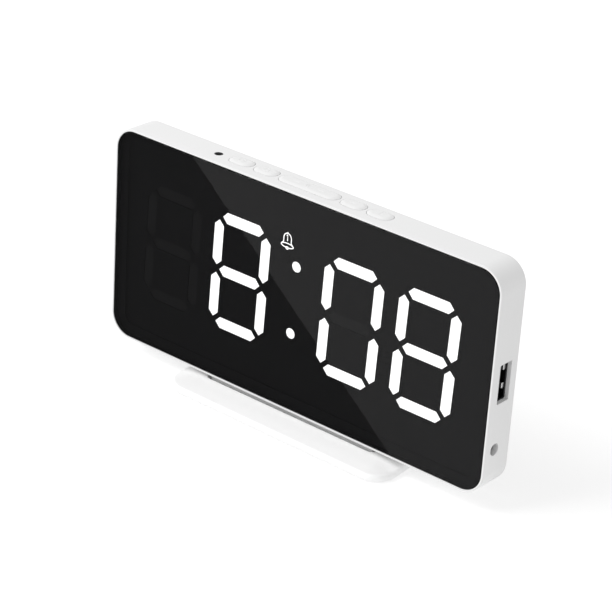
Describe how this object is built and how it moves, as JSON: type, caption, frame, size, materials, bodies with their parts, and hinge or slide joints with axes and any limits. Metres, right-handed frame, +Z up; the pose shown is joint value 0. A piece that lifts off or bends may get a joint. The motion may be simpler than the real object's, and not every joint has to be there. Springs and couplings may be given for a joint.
{
  "type": "desk alarm clock",
  "caption": "Slim desk alarm clock with a smoked mirror front, lit digits, top buttons, side sockets and a low foot.",
  "frame": {"origin": "centre of the foot's footprint, on the surface that the clock stands on", "axes": "+X to the right seen from the front, +Y from the front to the back, +Z up"},
  "size_m": [0.16, 0.044, 0.083],
  "materials": {
    "white_shell": "fine satin white ABS",
    "white_button": "satin white ABS",
    "smoked_acrylic": "polished smoked acrylic, nearly black",
    "glue_tape": "black foam adhesive tape",
    "black_moulding": "matt black moulding",
    "milky_guide": "milky diffusing acrylic",
    "circuit_board": "green solder mask on glass-fibre board",
    "black_chip": "moulded epoxy",
    "bright_steel": "nickel-plated steel",
    "gold_contact": "gold-plated contact",
    "sensor_lens": "dark clear epoxy",
    "ribbon": "polyester flat cable",
    "rubber": "soft black rubber",
    "lit_segment": "milky acrylic lit from behind by white lamps",
    "printed_mark": "moulded or printed sign"
  },
  "bodies": {
    "case": {"front_housing": "white_shell", "rear_cover": "white_shell", "foot": "white_shell", "front_panel": "smoked_acrylic", "panel_tape": "glue_tape", "display_frame": "black_moulding", "buzzer": "black_moulding", "usb_tongue": "black_moulding", "power_jack": "black_moulding", "battery_holder": "black_moulding", "digit_guide_1": "milky_guide", "digit_guide_2": "milky_guide", "digit_guide_3": "milky_guide", "digit_guide_4": "milky_guide", "colon_guide": "milky_guide", "bell_guide": "milky_guide", "display_board": "circuit_board", "key_board": "circuit_board", "controller_chip": "black_chip", "time_switch": "black_chip", "alarm_switch": "black_chip", "snooze_switch": "black_chip", "down_switch": "black_chip", "up_switch": "black_chip", "crystal_can": "bright_steel", "usb_shell": "bright_steel", "power_jack_pin": "bright_steel", "coin_cell": "bright_steel", "battery_contact": "bright_steel", "cover_screw_1": "bright_steel", "cover_screw_2": "bright_steel", "cover_screw_3": "bright_steel", "cover_screw_4": "bright_steel", "board_screw_1": "bright_steel", "board_screw_2": "bright_steel", "board_screw_3": "bright_steel", "board_screw_4": "bright_steel", "usb_contact_1": "gold_contact", "usb_contact_2": "gold_contact", "usb_contact_3": "gold_contact", "usb_contact_4": "gold_contact", "light_sensor": "sensor_lens", "ribbon_cable": "ribbon", "foot_pad_1": "rubber", "foot_pad_2": "rubber", "foot_pad_3": "rubber", "foot_pad_4": "rubber"},
    "time_button": {"time_button": "white_button", "time_plunger": "black_moulding"},
    "alarm_button": {"alarm_button": "white_button", "alarm_plunger": "black_moulding"},
    "snooze_button": {"snooze_button": "white_button", "snooze_plunger": "black_moulding"},
    "down_button": {"down_button": "white_button", "down_plunger": "black_moulding"},
    "up_button": {"up_button": "white_button", "up_plunger": "black_moulding"},
    "battery_door_body": {"battery_door": "white_shell"}
  },
  "joints": [
    {"name": "time_press", "type": "slide", "parent": "case", "child": "time_button", "axis": [0, -0.0913, -0.9958], "range_m": [0, 0.0006], "stiffness_N_per_m": 1200, "springref_m": -0.0003},
    {"name": "alarm_press", "type": "slide", "parent": "case", "child": "alarm_button", "axis": [0, -0.0913, -0.9958], "range_m": [0, 0.0006], "stiffness_N_per_m": 1200, "springref_m": -0.0003},
    {"name": "snooze_press", "type": "slide", "parent": "case", "child": "snooze_button", "axis": [0, -0.0913, -0.9958], "range_m": [0, 0.0006], "stiffness_N_per_m": 1200, "springref_m": -0.0003},
    {"name": "down_press", "type": "slide", "parent": "case", "child": "down_button", "axis": [0, -0.0913, -0.9958], "range_m": [0, 0.0006], "stiffness_N_per_m": 1200, "springref_m": -0.0003},
    {"name": "up_press", "type": "slide", "parent": "case", "child": "up_button", "axis": [0, -0.0913, -0.9958], "range_m": [0, 0.0006], "stiffness_N_per_m": 1200, "springref_m": -0.0003},
    {"name": "battery_door_twist", "type": "hinge", "parent": "case", "child": "battery_door_body", "pos_m": [0.03, 0.00137, 0.0315], "axis": [0, 0.9958, -0.0913], "range_deg": [0, 45]}
  ]
}
